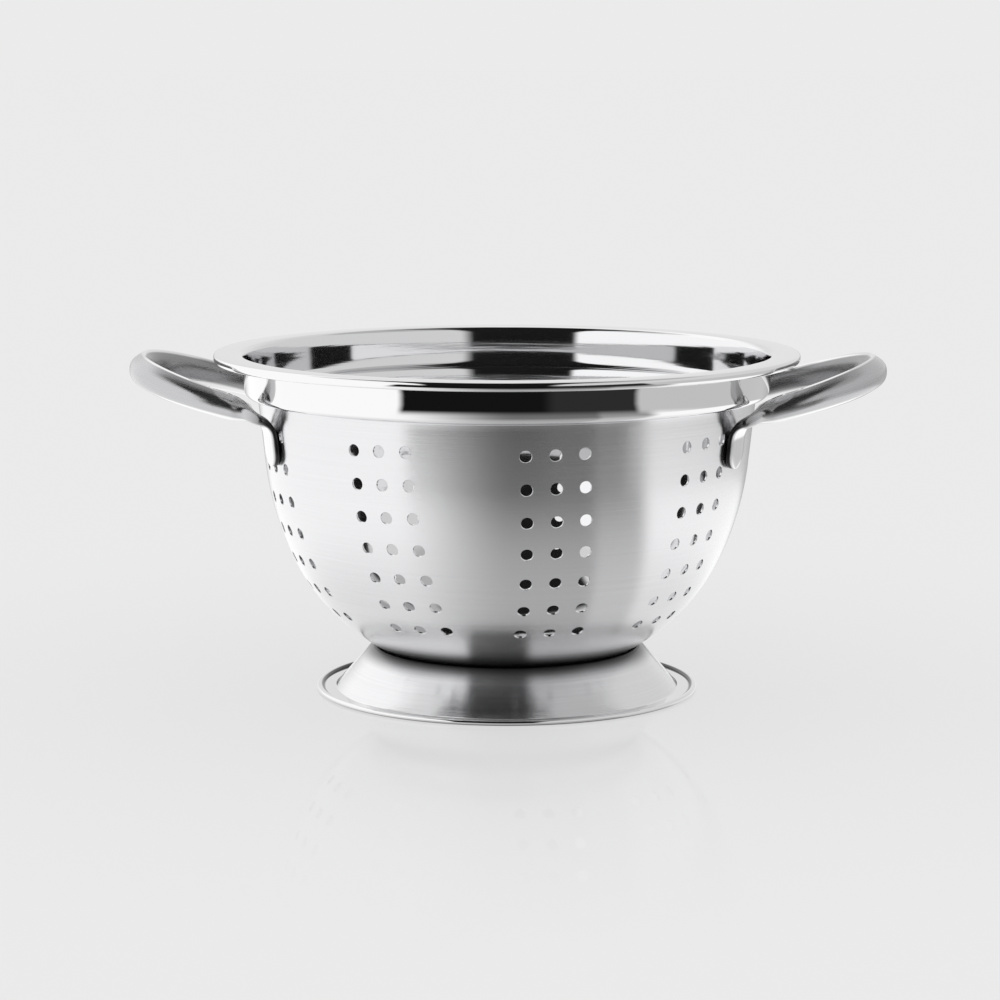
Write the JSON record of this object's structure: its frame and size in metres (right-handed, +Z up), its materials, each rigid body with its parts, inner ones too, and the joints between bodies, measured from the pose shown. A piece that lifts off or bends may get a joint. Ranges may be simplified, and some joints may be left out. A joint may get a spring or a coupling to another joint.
{
  "type": "colander",
  "caption": "Stainless steel footed colander: deep perforated bowl with a polished band, turned-out rim and two loop handles, for draining and rinsing food.",
  "frame": {"origin": "middle of the foot ring's resting edge, on the surface that the colander stands on", "axes": "+Z up out of the bowl's mouth, X through both handles with +X to the right-hand handle, -Y towards the viewer"},
  "size_m": [0.3106, 0.24, 0.14],
  "materials": {
    "bowl_steel": "satin below the ledge, mirror polished band, rim and inside",
    "foot_steel": "satin brushed round the cone",
    "handle_steel": "brushed along the outer face, polished inside the loop"
  },
  "bodies": {
    "root": {"bowl": "bowl_steel", "foot_ring": "foot_steel", "handle_left": "handle_steel", "handle_right": "handle_steel"}
  },
  "joints": []
}
